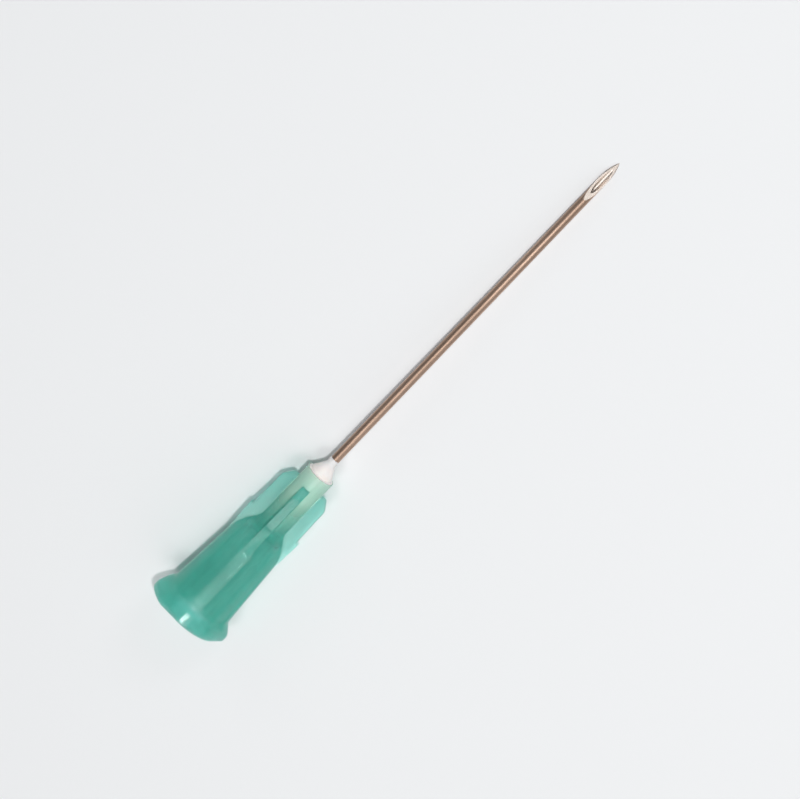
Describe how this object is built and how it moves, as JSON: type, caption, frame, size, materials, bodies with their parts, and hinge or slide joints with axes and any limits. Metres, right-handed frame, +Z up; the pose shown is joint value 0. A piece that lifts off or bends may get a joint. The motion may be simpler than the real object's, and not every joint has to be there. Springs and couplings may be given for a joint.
{
  "type": "hypodermic needle",
  "caption": "Hollow injection needle: lancet-ground steel cannula bonded into a translucent green finned hub with a Luer socket and two locking lugs.",
  "frame": {"origin": "on the surface that the needle lies on, under the middle of its length", "axes": "+X from the hub to the point, level; +Z up; the needle's own axis slopes down 3.1 degrees from the collar of the hub to the point, one fin faces up, and the lugs stand 32 degrees up and down from the level"},
  "size_m": [0.0556, 0.0076, 0.0068],
  "materials": {
    "hub": "translucent moulded polypropylene, gloss",
    "cannula": "drawn stainless tube, polished, with bright ground facets",
    "adhesive": "cured opaque white resin, satin"
  },
  "bodies": {
    "root": {"hub": "hub", "cannula": "cannula", "adhesive": "adhesive"}
  },
  "joints": []
}
